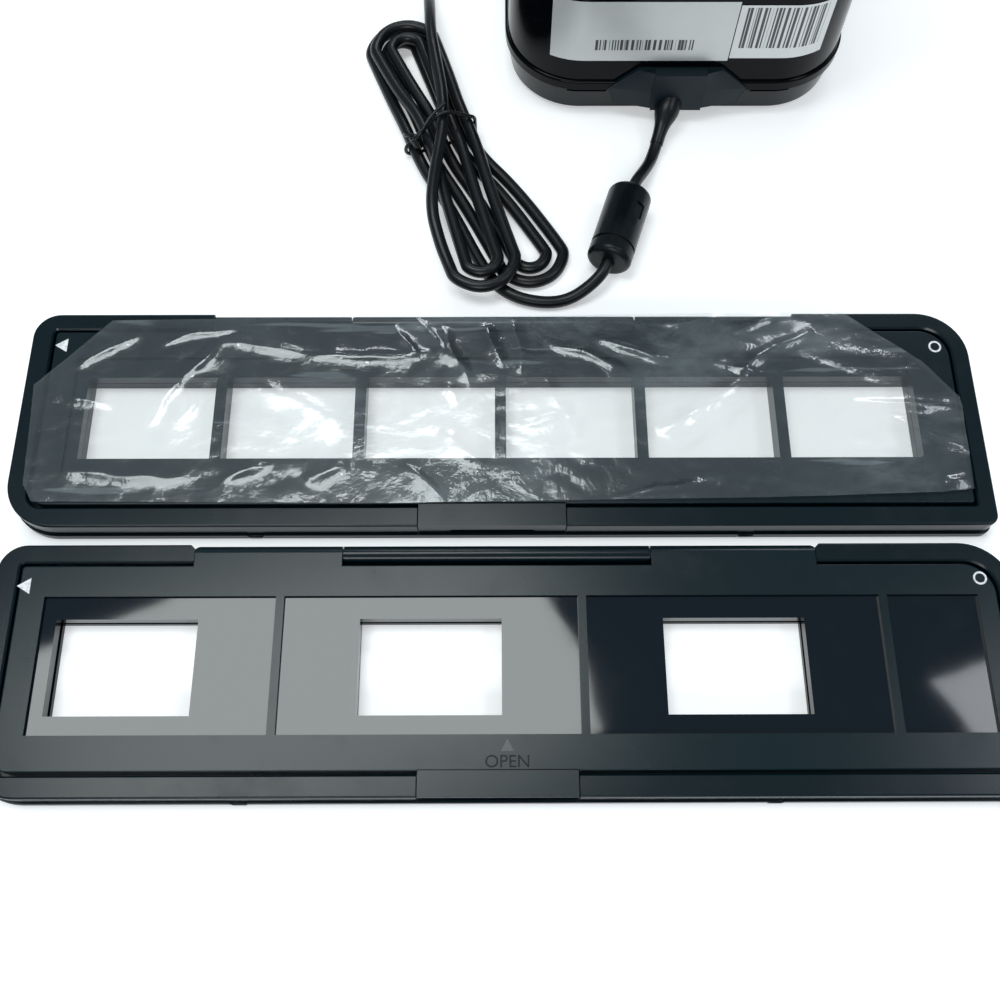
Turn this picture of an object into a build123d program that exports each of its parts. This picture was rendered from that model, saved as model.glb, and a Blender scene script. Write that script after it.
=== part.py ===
from build123d import *
import math
import os

os.makedirs("parts", exist_ok=True)

# Film negative scanner: a scanning tower with its lead, and two hinged film holders.
# Millimetres, +Z up, the table is Z = 0, the holders lie along X and the tower stands behind them.

# 35 mm film
frame_pitch = 38.0
window_depth = 24.2
film_width = 35.2
slide_mount = 50.6
window_gap = 0.2

# holders
holder_length = 259.0
flange_width = 64.6
flange_height = 2.0
rim_width = 63.4
holder_height = 7.5
outer_radii = (13.0, 3.0, 13.5, 7.0)
cover_radii = (4.0, 1.0, 8.0, 1.0)
cover_length = 247.0
cover_width = 51.5
cover_centre = (0.5, 0.25)
cover_gap = 0.8
tray_floor = 3.5
seat_gap = 0.1
panel_width = 34.7
panel_drop = 0.9
edge_round = 0.5
rim_chamfer = 0.45

# hinge along the rear edge of a holder
hinge_radius = 2.3
pin_radius = 1.2
pin_length = 4.2
pin_clearance = 0.05
knuckle_gap = 0.15
hinge_floor = 2.6

# finger tab on the front edge of a cover
tab_width = 38.4
tab_centre = -2.3
tab_gap = 0.3
tab_bottom = 3.0

# tower
tower_width = 104.0
tower_depth = 87.0
tower_height = 166.0
tower_radius = 23.0
tower_draft = 2.4
ridge_proud = 0.8
ridge_height = 3.2
wall = 2.3
skirt_bottom = 0.8
skirt_top = 10.5
body_top = 150.0
slot_centre = 62.2
slot_width = 67.0
slot_height = 9.4

# lead
cable_diameter = 3.6
bead_radius = 6.5
bead_length = 25.0

# where everything stands
holder_gap = 3.7
tower_gap = 76.0
holder_shift = 0.65
tower_x = 53.35
layout_depth = 2 * flange_width + holder_gap + tower_gap + tower_depth
slide_y = -layout_depth / 2 + flange_width / 2
negative_y = slide_y + flange_width + holder_gap
tower_y = layout_depth / 2 - tower_depth / 2
rear_y = tower_y - tower_depth / 2

# hinge axis, from the middle of a holder
axis_y = rim_width / 2 - hinge_radius
axis_z = holder_height - hinge_radius


def finish(piece, label):
    piece.part.label = label
    export_step(piece.part, f"parts/{label}.step")


def keyed_outline(length, width, radii):
    # corners in the order front left, front right, rear right, rear left
    Rectangle(length, width)
    places = ((-1, -1), (1, -1), (1, 1), (-1, 1))
    for (side, end), radius in zip(places, radii):
        corner = (side * length / 2, end * width / 2, 0)
        fillet(vertices().sort_by_distance(corner)[0], radius)


def across(x, y, z):
    # a plane whose drawing runs along Y and up, and which faces +X
    return Plane(origin=(x, y, z), x_dir=(0, 1, 0), z_dir=(1, 0, 0))


def facing_viewer(x, y, z):
    # a plane whose drawing runs along X and up, and which faces -Y
    return Plane(origin=(x, y, z), x_dir=(1, 0, 0), z_dir=(0, -1, 0))


# ---- film holders

def hinge_spans(seams):
    rim_left, bar_left, bar_right, rim_right = seams
    return (rim_left, bar_left), (bar_right, rim_right)


def make_tray(label, x, y, seams, notched, windows, window_length, pocket, mount_size):
    level = Plane((x, y, 0))
    rear_line = cover_centre[1] + cover_width / 2 + cover_gap
    with BuildPart() as tray:
        with BuildSketch(level):
            keyed_outline(holder_length, flange_width, outer_radii)
        extrude(amount=flange_height)
        with BuildSketch(level.offset(flange_height)):
            keyed_outline(holder_length, rim_width, outer_radii)
        extrude(amount=holder_height - flange_height)
        fillet(tray.faces().sort_by(Axis.Z)[-1].edges(), edge_round)
        # the cover lies in this recess
        with BuildSketch(level.offset(tray_floor)):
            with Locations(cover_centre):
                keyed_outline(cover_length + 2 * cover_gap, cover_width + 2 * cover_gap, cover_radii)
        extrude(amount=holder_height, mode=Mode.SUBTRACT)
        # the rim's rear edge is eased, so that the cover's rear face clears it on its way up
        rear_edge = tray.edges().filter_by(Axis.X).filter_by_position(
            Axis.Z, holder_height - 0.01, holder_height + 0.01).filter_by_position(
            Axis.Y, y + rear_line - 0.01, y + rear_line + 0.01)
        chamfer(rear_edge, rim_chamfer)
        # the hinge and the finger tab interrupt the rim
        hinge_depth = flange_width / 2 - rear_line + 1
        with BuildSketch(level.offset(hinge_floor)):
            with Locations(((seams[0] + seams[3]) / 2, rear_line - 0.5 + hinge_depth / 2)):
                Rectangle(seams[3] - seams[0], hinge_depth)
            with Locations((tab_centre, -rim_width / 2)):
                Rectangle(tab_width + 2 * tab_gap, 14)
        extrude(amount=holder_height, mode=Mode.SUBTRACT)
        # round bar between the two knuckles, on a web
        bar_start, bar_end = seams[1] + knuckle_gap, seams[2] - knuckle_gap
        with BuildSketch(across(x + bar_start, y + axis_y, axis_z)):
            Circle(hinge_radius)
            with Locations((0.5, (hinge_floor - axis_z) / 2 - 0.05)):
                Rectangle(2.6, axis_z - hinge_floor + 0.1)
        extrude(amount=bar_end - bar_start)
        # stub pins into the knuckles
        for seam, way in zip(seams, (1, -1, 1, -1)):
            with BuildSketch(across(x + seam - way * 0.5, y + axis_y, axis_z)):
                Circle(pin_radius)
            extrude(amount=way * (pin_length + 0.5))
        # hinge nicks
        with BuildSketch(level.offset(hinge_floor)):
            with Locations(*[(seam, axis_y + hinge_radius) for seam in notched]):
                Rectangle(1.6, 1.6, rotation=45)
        extrude(amount=holder_height, mode=Mode.SUBTRACT)
        # windows, and the bed that the film or the mounts lie in
        with BuildSketch(level):
            with Locations(*[(place, 0) for place in windows]):
                Rectangle(window_length + 2 * window_gap, window_depth + 2 * window_gap)
        extrude(amount=holder_height, mode=Mode.SUBTRACT)
        with BuildSketch(level.offset(tray_floor - pocket)):
            if mount_size:
                with Locations(*[(place, 0) for place in windows]):
                    RectangleRounded(mount_size, mount_size, 1.5)
            else:
                Rectangle(frame_pitch * 6 + 6, film_width)
        extrude(amount=holder_height, mode=Mode.SUBTRACT)
        # click-stop notches under the rear flange, one for each window, and two moulding nicks in front
        with BuildSketch(level):
            with Locations(*[(place, flange_width / 2) for place in windows]):
                Circle(1.5)
            with Locations((-64.5, -flange_width / 2), (64.5, -flange_width / 2)):
                Rectangle(4.0, 0.9)
        extrude(amount=flange_height, mode=Mode.SUBTRACT)
    finish(tray, label)


def make_cover(label, x, y, seams, notched, windows, window_length, panels):
    level = Plane((x, y, 0))
    bottom = tray_floor + seat_gap
    plate_rear = cover_centre[1] + cover_width / 2
    plate_front = cover_centre[1] - cover_width / 2
    with BuildPart() as cover:
        with BuildSketch(level.offset(bottom)):
            with Locations(cover_centre):
                keyed_outline(cover_length, cover_width, cover_radii)
        extrude(amount=holder_height - bottom)
        fillet(cover.faces().sort_by(Axis.Z)[-1].edges(), 0.35)
        # knuckles that roll on the stub pins
        for start, end in hinge_spans(seams):
            with BuildSketch(across(x + start + knuckle_gap, y, 0)):
                with Locations((axis_y, axis_z)):
                    Circle(hinge_radius)
                with Locations(((axis_y + plate_rear - 2) / 2, (bottom + holder_height) / 2)):
                    Rectangle(axis_y - plate_rear + 2, holder_height - bottom)
            extrude(amount=end - start - 2 * knuckle_gap)
        # finger tab
        tab_front = -rim_width / 2 + 0.1
        with BuildSketch(level.offset(tab_bottom)):
            with Locations((tab_centre, (tab_front + plate_front + 0.5) / 2)):
                Rectangle(tab_width, plate_front + 0.5 - tab_front)
        extrude(amount=holder_height - 0.1 - tab_bottom)
        with BuildSketch(level.offset(tab_bottom)):
            with Locations((tab_centre, tab_front)):
                Rectangle(22, 2.4)
        extrude(amount=1.3, mode=Mode.SUBTRACT)
        # line between the tab and the cover
        with BuildSketch(level.offset(holder_height - 0.6)):
            with Locations((tab_centre, plate_front + 0.15)):
                Rectangle(tab_width, 0.5)
        extrude(amount=1, mode=Mode.SUBTRACT)
        # bores for the stub pins
        for seam, way in zip(seams, (1, -1, 1, -1)):
            with BuildSketch(across(x + seam, y + axis_y, axis_z)):
                Circle(pin_radius + pin_clearance)
            extrude(amount=way * (pin_length + 0.6), mode=Mode.SUBTRACT)
        with BuildSketch(level):
            with Locations(*[(seam, axis_y + hinge_radius) for seam in notched]):
                Rectangle(1.6, 1.6, rotation=45)
        extrude(amount=holder_height, mode=Mode.SUBTRACT)
        # sunk panels and windows
        with BuildSketch(level.offset(holder_height - panel_drop)):
            for start, end in panels:
                with Locations(((start + end) / 2, 0.5)):
                    Rectangle(end - start, panel_width)
        extrude(amount=panel_drop, mode=Mode.SUBTRACT)
        with BuildSketch(level):
            with Locations(*[(place, 0) for place in windows]):
                Rectangle(window_length, window_depth)
        extrude(amount=holder_height, mode=Mode.SUBTRACT)
        # the underside is cored out in front of and behind the windows
        with BuildSketch(level.offset(bottom)):
            for edge in (-21.0, 21.5):
                with Locations((0.5, edge)):
                    with GridLocations(cover_length / 6 - 0.5, 0, 6, 1):
                        Rectangle(cover_length / 6 - 3, 5.0)
        extrude(amount=1.9, mode=Mode.SUBTRACT)
    finish(cover, label)


negative_seams = (-79.75, -41.25, 37.55, 81.85)
slide_seams = (-79.7, -41.8, 36.9, 79.4)
negative_windows = [frame_pitch * (i - 2.5) for i in range(6)]
slide_windows = [-2.5 * frame_pitch, -0.5 * frame_pitch, 1.5 * frame_pitch]
rib_places = [-1.5 * frame_pitch, 0.5 * frame_pitch, 2.5 * frame_pitch]
rib_half = 1.05
panel_ends = [-116.3] + [rib + side * rib_half for rib in rib_places for side in (-1, 1)] + [119.0]
slide_panels = list(zip(panel_ends[0::2], panel_ends[1::2]))

make_tray("negative_tray", -holder_shift, negative_y, negative_seams, negative_seams[1:3],
          negative_windows, 35.0, 0.6, None)
make_cover("negative_cover", -holder_shift, negative_y, negative_seams, negative_seams[1:3],
           negative_windows, 35.0, [(-116.0, 112.0)])
make_tray("slide_tray", holder_shift, slide_y, slide_seams, (slide_seams[0], slide_seams[3]),
          slide_windows, 35.5, 2.0, slide_mount)
make_cover("slide_cover", holder_shift, slide_y, slide_seams, (slide_seams[0], slide_seams[3]),
           slide_windows, 35.5, slide_panels)

# clear protective film, laid on the negative cover and cut as it was found
film_front = -24.5
film_rear = 25.6
with BuildPart() as protective_film:
    with BuildSketch(Plane((-holder_shift, negative_y, holder_height + 0.1))):
        with BuildLine():
            Polyline((-106, film_rear), (107, film_rear), (117.5, 14), (122, 10), (123, 2), (122.5, -22),
                     (72, -24), (-26, film_front), (-121, film_front), (-122, 9), close=True)
        make_face()
    extrude(amount=0.6)
finish(protective_film, "protective_film")


# ---- tower casing

cap_inset = ridge_proud + tower_draft
screw_places = [(sx * 40.9, sy * 32.4) for sx in (-1, 1) for sy in (-1, 1)]
post_places = [(sx * 31.0, sy * 19.0) for sx in (-1, 1) for sy in (-1, 1)]
foot_places = [(sx * 34.0, sy * 24.0) for sx in (-1, 1) for sy in (-1, 1)]
spigot_top = 12.6
boss_top = 30.0
floor_top = 3.0
board_level = 14.0
frame_level = 34.0
screw_radius = 1.25
button_y = 8.0
light_y = -14.0
cap_screw_places = [(sx * 13.0, y) for sx in (-1, 1) for y in (-14.0, 26.0)]

# the cable gland sits in a shallow seat across the skirt and the rear shell
gland_outline = [(-12.6, 19.0), (12.6, 19.0), (21.0, 11.5), (19.0, 5.6), (-19.0, 5.6), (-21.0, 11.5)]
tab_outline = [(-7.7, 19.6), (7.7, 19.6), (8.0, 12.5), (7.7, 5.4), (-7.7, 5.4), (-8.0, 12.5)]
gland_seat = rear_y + 1.6
gland_front = rear_y - 2.4
neck_width, neck_height, neck_centre = 13.0, 9.4, 11.3


def level(z):
    return Plane((tower_x, tower_y, z))


def plan(z, inset):
    # the tower's outline at one height
    with BuildSketch(level(z)) as outline:
        RectangleRounded(tower_width - 2 * inset, tower_depth - 2 * inset, tower_radius - inset)
    return outline.sketch


def body_plan(z, inset):
    # the body leans in by the draft between the skirt and the top
    return plan(z, inset + tower_draft * (z - skirt_top) / (body_top - skirt_top))


def rim(z, outer, inner):
    with BuildSketch(level(z)) as ring:
        RectangleRounded(tower_width - 2 * outer, tower_depth - 2 * outer, tower_radius - outer)
        RectangleRounded(tower_width - 2 * inner, tower_depth - 2 * inner, tower_radius - inner,
                         mode=Mode.SUBTRACT)
    return ring.sketch


def discs(z, places, radius):
    with BuildSketch(level(z)) as group:
        with Locations(*places):
            Circle(radius)
    return group.sketch


def plate(z, length, width, corner=1.0):
    with BuildSketch(level(z)) as sheet:
        RectangleRounded(length, width, corner)
    return sheet.sketch


def upright(y, corners):
    # a face drawn along X and up, which looks towards -Y
    with BuildSketch(Plane(origin=(tower_x, y, 0), x_dir=(1, 0, 0), z_dir=(0, -1, 0))) as face:
        with BuildLine():
            Polyline(*corners, close=True)
        make_face()
    return face.sketch


def neck(y, clearance):
    half = neck_width / 2 + clearance
    low = neck_centre - neck_height / 2 - clearance
    high = neck_centre + neck_height / 2 + clearance
    return upright(y, [(-half, low), (half, low), (half, high), (-half, high)])


with BuildSketch(across(tower_x, tower_y, slot_centre)) as film_slot:
    RectangleRounded(slot_width, slot_height, 2.0)

with BuildPart() as ridge:
    extrude(plan(skirt_top, 0), amount=ridge_height)
    fillet(ridge.faces().sort_by(Axis.Z)[-1].edges(), ridge_proud - 0.05)

with BuildPart() as casing:
    loft([body_plan(skirt_top, ridge_proud), body_plan(body_top, ridge_proud)])
    add(ridge.part)
    loft([body_plan(skirt_top, ridge_proud + wall), body_plan(body_top, ridge_proud + wall)],
         mode=Mode.SUBTRACT)
    extrude(film_slot.sketch, amount=tower_width, both=True, mode=Mode.SUBTRACT)
    # bosses for the screws from below
    extrude(discs(spigot_top + 0.2, screw_places, 3.6), amount=boss_top - spigot_top)
    extrude(discs(spigot_top + 0.2, screw_places, screw_radius + 0.05), amount=12, mode=Mode.SUBTRACT)
    extrude(upright(gland_seat, gland_outline), amount=10, mode=Mode.SUBTRACT)
    extrude(neck(rear_y + 8, 0.1), amount=10, mode=Mode.SUBTRACT)

halves = Plane(origin=(tower_x, tower_y, 0), x_dir=(1, 0, 0), z_dir=(0, 1, 0))
for label, kept in (("rear_shell", Keep.BOTTOM), ("front_shell", Keep.TOP)):
    with BuildPart() as shell:
        add(casing.part)
        split(bisect_by=halves, keep=kept)
    finish(shell, label)

# base: a drafted skirt with a floor, a locating rim, screw pillars and posts for the inner frame
with BuildPart() as base:
    loft([plan(skirt_bottom, 2.0), plan(skirt_top, 0.5)])
    fillet(base.faces().sort_by(Axis.Z)[0].edges(), 1.2)
    loft([plan(floor_top, 4.4), plan(skirt_top, 2.9)], mode=Mode.SUBTRACT)
    extrude(rim(7.0, 2.8, 5.0), amount=skirt_top - 7.0)
    extrude(rim(skirt_top, 3.3, 5.0), amount=spigot_top - skirt_top)
    extrude(discs(floor_top - 0.2, screw_places, 2.9), amount=spigot_top + 0.2 - floor_top)
    extrude(discs(floor_top - 0.2, post_places, 4.5), amount=board_level + 0.2 - floor_top)
    extrude(discs(board_level, post_places, 2.6), amount=frame_level - board_level)
    # screw holes: head recess below, clearance above, pilot holes in the posts
    extrude(discs(0, screw_places, 3.1), amount=3.4, mode=Mode.SUBTRACT)
    extrude(discs(0, screw_places, 1.6), amount=14, mode=Mode.SUBTRACT)
    extrude(discs(frame_level - 9, post_places, 1.05), amount=9, mode=Mode.SUBTRACT)
    extrude(discs(0, foot_places, 5.2), amount=1.4, mode=Mode.SUBTRACT)
    # snap slots under the ridge
    with BuildSketch(level(skirt_top - 1.4)):
        with Locations((-27.3, -tower_depth / 2), (28.5, -tower_depth / 2)):
            Rectangle(12, 4)
    extrude(amount=1.4, mode=Mode.SUBTRACT)
    extrude(upright(gland_seat, gland_outline), amount=10, mode=Mode.SUBTRACT)
    extrude(neck(rear_y + 8, 0.1), amount=10, mode=Mode.SUBTRACT)
finish(base, "base_tray")

with BuildPart() as feet:
    extrude(discs(0, foot_places, 5.0), amount=1.4)
    fillet(feet.edges().filter_by(GeomType.CIRCLE).group_by(Axis.Z)[0], 0.4)
finish(feet, "rubber_feet")

with BuildPart() as case_screws:
    extrude(discs(1.5, screw_places, 2.8), amount=1.9)
    extrude(discs(3.4, screw_places, screw_radius), amount=18)
    with BuildSketch(level(1.5)):
        with Locations(*screw_places):
            Rectangle(3.2, 0.8)
            Rectangle(0.8, 3.2)
    extrude(amount=1.0, mode=Mode.SUBTRACT)
finish(case_screws, "case_screws")

# top cap: domed edge, a rim inside the shells, and posts for the button board
cap_skin = 2.4
ring_bore = 13.6
board_hang = 149.6
with BuildPart() as cap:
    extrude(plan(body_top, cap_inset), amount=tower_height - body_top)
    fillet(cap.faces().sort_by(Axis.Z)[-1].edges(), 9.0)
    extrude(plan(body_top, cap_inset + wall), amount=tower_height - body_top - cap_skin - 4.0,
            mode=Mode.SUBTRACT)
    extrude(plan(body_top, cap_inset + wall + 6), amount=tower_height - body_top - cap_skin,
            mode=Mode.SUBTRACT)
    extrude(rim(body_top - 2.5, cap_inset + wall + 0.25, cap_inset + wall + 2.0), amount=12.2)
    extrude(discs(board_hang, cap_screw_places, 2.6), amount=tower_height - cap_skin - board_hang + 0.2)
    extrude(discs(board_hang, cap_screw_places, 0.85), amount=7, mode=Mode.SUBTRACT)
    extrude(discs(body_top, [(0, button_y)], ring_bore), amount=30, mode=Mode.SUBTRACT)
    extrude(discs(body_top, [(0, light_y)], 1.6), amount=30, mode=Mode.SUBTRACT)
finish(cap, "top_cap")

# ---- scan button and its switch

button_radius = 11.8
button_play = 0.3
button_travel = 0.8
button_top = 167.4
ring_low = 160.0
switch_top = board_hang + 3.5
plunger_top = switch_top + 1.4
with BuildPart() as button_ring:
    extrude(discs(ring_low, [(0, button_y)], ring_bore - 0.05), amount=tower_height - ring_low)
    extrude(discs(tower_height, [(0, button_y)], ring_bore + 1.8), amount=0.8)
    fillet(button_ring.faces().sort_by(Axis.Z)[-1].edges(), 0.4)
    extrude(discs(0, [(0, button_y)], button_radius + button_play), amount=200, mode=Mode.SUBTRACT)
finish(button_ring, "button_ring")

with BuildPart() as button:
    extrude(discs(ring_low - 2.4, [(0, button_y)], button_radius + 1.2), amount=1.4)
    extrude(discs(ring_low - 2.4, [(0, button_y)], button_radius), amount=button_top - ring_low + 2.4)
    fillet(button.faces().sort_by(Axis.Z)[-1].edges(), 1.0)
    extrude(discs(ring_low - 2.4, [(0, button_y)], button_radius - 1.8), amount=7.4, mode=Mode.SUBTRACT)
    extrude(discs(plunger_top, [(0, button_y)], 2.2), amount=ring_low + 6 - plunger_top)
    # shallow dish for the finger
    with Locations((tower_x, tower_y + button_y, button_top + 39.4)):
        Sphere(40.0, mode=Mode.SUBTRACT)
finish(button, "scan_button")

with BuildPart() as switch:
    with BuildSketch(level(board_hang)):
        with Locations((0, button_y)):
            Rectangle(6.2, 6.2)
    extrude(amount=3.5)
    extrude(discs(board_hang + 1, [(0, button_y)], 1.8), amount=4, mode=Mode.SUBTRACT)
finish(switch, "tact_switch")

with BuildPart() as plunger:
    extrude(discs(switch_top - 1.4, [(0, button_y)], 1.7), amount=plunger_top - switch_top + 1.4)
finish(plunger, "switch_plunger")

with BuildPart() as button_board:
    with BuildSketch(level(board_hang - 1.6)):
        with Locations((0, 6)):
            RectangleRounded(33, 47, 2)
        with Locations(*cap_screw_places):
            Circle(1.1, mode=Mode.SUBTRACT)
    extrude(amount=1.6)
finish(button_board, "button_board")

with BuildPart() as button_screws:
    extrude(discs(board_hang - 3.0, cap_screw_places, 1.8), amount=1.4)
    extrude(discs(board_hang - 1.6, cap_screw_places, 0.8), amount=7)
finish(button_screws, "button_board_screws")

with BuildPart() as status_led:
    with BuildSketch(level(board_hang)):
        with Locations((0, light_y)):
            Rectangle(3.2, 1.6)
    extrude(amount=1.0)
finish(status_led, "status_led")

with BuildPart() as light_pipe:
    extrude(discs(board_hang + 1.2, [(0, light_y)], 1.5), amount=tower_height + 0.3 - board_hang - 1.2)
    extrude(discs(tower_height - cap_skin - 1.2, [(0, light_y)], 2.6), amount=1.2)
finish(light_pipe, "light_pipe")

# ---- inside the tower, from the bottom up

with BuildPart() as main_board:
    with BuildSketch(level(board_level)):
        RectangleRounded(76, 52, 2)
        with Locations(*post_places):
            Circle(2.75, mode=Mode.SUBTRACT)
    extrude(amount=1.6)
finish(main_board, "main_board")

chip_places = ((6, 4, 14, 14, 1.6), (-15, 6, 10, 8, 1.2), (-14, -8, 5, 3.4, 1.4), (22, -6, 4, 4, 1.0))
with BuildPart() as board_chips:
    for x, y, length, width, height in chip_places:
        with BuildSketch(level(board_level + 1.6)):
            with Locations((x, y)):
                Rectangle(length, width)
        extrude(amount=height)
finish(board_chips, "board_chips")

with BuildPart() as cable_header:
    with BuildSketch(level(board_level + 1.6)):
        with Locations((0, -20)):
            Rectangle(12, 6)
    extrude(amount=6)
    with BuildSketch(level(board_level + 3.2)):
        with Locations((0, -20)):
            Rectangle(10, 4)
    extrude(amount=6, mode=Mode.SUBTRACT)
finish(cable_header, "cable_header")

guide_floor = 55.4
guide_plate = 2.2
channel_height = 8.8
rail_top = guide_floor + guide_plate + channel_height
guide_length = 94.0
channel_width = 65.8
rail = 1.5
guide_corner = 14.0
light_window = (37.5, 27.0)
with BuildPart() as light_box:
    extrude(plate(frame_level, 74, 50, 2), amount=2)
    extrude(plate(frame_level + 2, 56, 42, 2), amount=guide_floor - frame_level - 2)
    extrude(plate(frame_level + 2, 52, 38, 1), amount=40, mode=Mode.SUBTRACT)
    extrude(plate(guide_floor - 2, 54, 40, 1), amount=10, mode=Mode.SUBTRACT)
    extrude(discs(frame_level, post_places, 1.3), amount=5, mode=Mode.SUBTRACT)
finish(light_box, "light_box")

with BuildPart() as frame_screws:
    extrude(discs(frame_level + 2, post_places, 2.2), amount=1.5)
    extrude(discs(frame_level - 6, post_places, 1.0), amount=8)
finish(frame_screws, "frame_screws")

with BuildPart() as light_board:
    extrude(plate(frame_level + 2, 50, 36, 1), amount=1.6)
finish(light_board, "light_board")

with BuildPart() as lamps:
    with BuildSketch(level(frame_level + 3.6)):
        with GridLocations(14, 12, 3, 2):
            Rectangle(3.5, 2.8)
    extrude(amount=1.2)
finish(lamps, "backlight_leds")

with BuildPart() as diffuser:
    extrude(plate(guide_floor - 2, 53.6, 39.6, 0.9), amount=2)
finish(diffuser, "diffuser")

# holder guide: a floor with two rails, and a lid; the click spring rides in a gap of the rear rail
spring_gap = 34.0
with BuildPart() as lower_guide:
    extrude(plate(guide_floor, guide_length, channel_width + 2 * rail, guide_corner),
            amount=guide_plate + channel_height)
    with BuildSketch(level(guide_floor + guide_plate)):
        Rectangle(guide_length + 2, channel_width)
        with Locations((0, channel_width / 2)):
            Rectangle(spring_gap, 6)
    extrude(amount=20, mode=Mode.SUBTRACT)
    extrude(plate(guide_floor, *light_window), amount=20, mode=Mode.SUBTRACT)
finish(lower_guide, "lower_guide")

with BuildPart() as upper_guide:
    extrude(plate(rail_top, guide_length, channel_width + 2 * rail, guide_corner), amount=2)
    extrude(plate(rail_top, *light_window), amount=2, mode=Mode.SUBTRACT)
finish(upper_guide, "upper_guide")

# leaf spring with a bump that drops into the notches of a holder's edge
spring_y = channel_width / 2 + rail
spring_low = guide_floor + guide_plate
with BuildPart() as click_spring:
    with BuildSketch(level(spring_low)):
        with BuildLine():
            flat = Line((-16.5, spring_y - 0.4), (-10, spring_y - 0.4))
            rise = ThreePointArc((-10, spring_y - 0.4), (0, spring_y - rail + 0.35), (10, spring_y - 0.4))
            Line((10, spring_y - 0.4), (16.5, spring_y - 0.4))
            Line((16.5, spring_y - 0.4), (16.5, spring_y))
            Line((16.5, spring_y), (10, spring_y))
            ThreePointArc((10, spring_y), (0, spring_y - rail + 0.75), (-10, spring_y))
            Line((-10, spring_y), (-16.5, spring_y))
            Line((-16.5, spring_y), (-16.5, spring_y - 0.4))
        make_face()
    extrude(amount=6)
finish(click_spring, "click_spring")

tunnel_low = rail_top + 2
tunnel_top = 124.0
sensor_level = 131.0
stand_places = [(sx * 14.0, sy * 14.0) for sx in (-1, 1) for sy in (-1, 1)]
with BuildPart() as tunnel:
    extrude(plate(tunnel_low, 64, 48, 2), amount=2)
    loft([plate(tunnel_low + 2, 50, 38, 2), plate(tunnel_top, 38, 36, 2)])
    loft([plate(tunnel_low, 46, 34, 1), plate(tunnel_top - 2, 34.2, 32.2, 1)], mode=Mode.SUBTRACT)
    extrude(discs(tunnel_top - 3, [(0, 0)], 8.6), amount=4, mode=Mode.SUBTRACT)
    extrude(discs(tunnel_top, stand_places, 2.4), amount=sensor_level - tunnel_top)
    extrude(discs(tunnel_top + 1, stand_places, 0.85), amount=10, mode=Mode.SUBTRACT)
finish(tunnel, "optics_tunnel")

with BuildPart() as sensor_board:
    with BuildSketch(level(sensor_level)):
        RectangleRounded(36, 34, 2)
        with Locations(*stand_places):
            Circle(1.1, mode=Mode.SUBTRACT)
    extrude(amount=1.6)
finish(sensor_board, "sensor_board")

with BuildPart() as sensor_screws:
    extrude(discs(sensor_level + 1.6, stand_places, 1.8), amount=1.4)
    extrude(discs(sensor_level - 5, stand_places, 0.8), amount=6.6)
finish(sensor_screws, "sensor_board_screws")

with BuildPart() as image_sensor:
    extrude(plate(sensor_level - 1.4, 9, 9, 0.3), amount=1.4)
finish(image_sensor, "image_sensor")

with BuildPart() as lens_holder:
    extrude(plate(sensor_level - 4, 17, 17, 1.5), amount=4)
    extrude(discs(sensor_level - 16, [(0, 0)], 8.0), amount=13)
    extrude(plate(sensor_level - 2.5, 12, 12, 0.5), amount=3, mode=Mode.SUBTRACT)
    extrude(discs(sensor_level - 20, [(0, 0)], 6.05), amount=30, mode=Mode.SUBTRACT)
finish(lens_holder, "lens_holder")

with BuildPart() as lens_barrel:
    extrude(discs(sensor_level - 22, [(0, 0)], 6.0), amount=16)
    extrude(discs(sensor_level - 22, [(0, 0)], 7.0), amount=4)
    extrude(discs(sensor_level - 22, [(0, 0)], 4.0), amount=30, mode=Mode.SUBTRACT)
finish(lens_barrel, "lens_barrel")

with BuildPart() as lens_glass:
    with Locations((tower_x, tower_y, sensor_level - 19)):
        Cylinder(3.95, 3.0)
    with Locations((tower_x, tower_y, sensor_level - 10)):
        Cylinder(3.95, 2.2)
finish(lens_glass, "lens_glass")

# ---- cable gland and strain relief

exit_x, exit_z = tower_x - 2.3, 7.2
relief_way = Vector(-0.30, -0.90, -0.29).normalized()
relief_length = 12.5
relief_start = Vector(exit_x, gland_front - 0.8, exit_z)
relief_end = relief_start + relief_way * relief_length
with BuildPart() as gland:
    extrude(upright(gland_seat - 0.05, gland_outline), amount=gland_seat - rear_y + 0.2)
    loft([upright(rear_y - 0.15, gland_outline), upright(gland_front, tab_outline)])
    extrude(upright(rear_y, tab_outline), amount=3.2)
    extrude(neck(rear_y + 5.5, 0), amount=5)
    with BuildSketch(Plane(origin=relief_start - relief_way * 3, z_dir=relief_way)):
        Circle(3.85)
    extrude(amount=8, mode=Mode.SUBTRACT)
finish(gland, "cable_gland")

relief_side = Vector(0, 0, 1).cross(relief_way).normalized()
with BuildPart() as relief:
    with BuildSketch(Plane(origin=relief_start, x_dir=relief_side, z_dir=relief_side.cross(relief_way))):
        with BuildLine():
            Polyline((0, relief_length), (0, -2.8), (3.8, -2.8), (3.8, 0.6))
            Spline((3.8, 0.6), (2.5, 6.0), (2.0, relief_length), tangents=((0, 1), (0, 1)))
            Line((2.0, relief_length), (0, relief_length))
        make_face()
    revolve(axis=Axis(relief_start, relief_way))
finish(relief, "strain_relief")

# ---- lead

cable_radius = cable_diameter / 2
floor_level = cable_radius + 0.05
bead_way = Vector(-0.307, -0.952, 0).normalized()
bead_centre = Vector(34.25, 13.85, bead_radius)
plug_way = Vector(-1, 0, 0)
plug_start = Vector(-67.0, 133.8, 4.25)

# the lead's loops are drawn in by the tie and fan out from it; places are along and across the hank
hank_centre = (-18.45, 48.15)
hank_tilt = math.radians(20.0)
column = 4.3
layer_height = 4.2
tie_lift = 1.6
runs = 8
inner_cap, cap_step = 4.7, 4.8
top_caps = ((37.6, 0.0), (34.8, 1.0))
bottom_caps = ((-47.0, 11.2), (-46.0, -3.5))
link_side = -2.6
waist = 8.0


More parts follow.
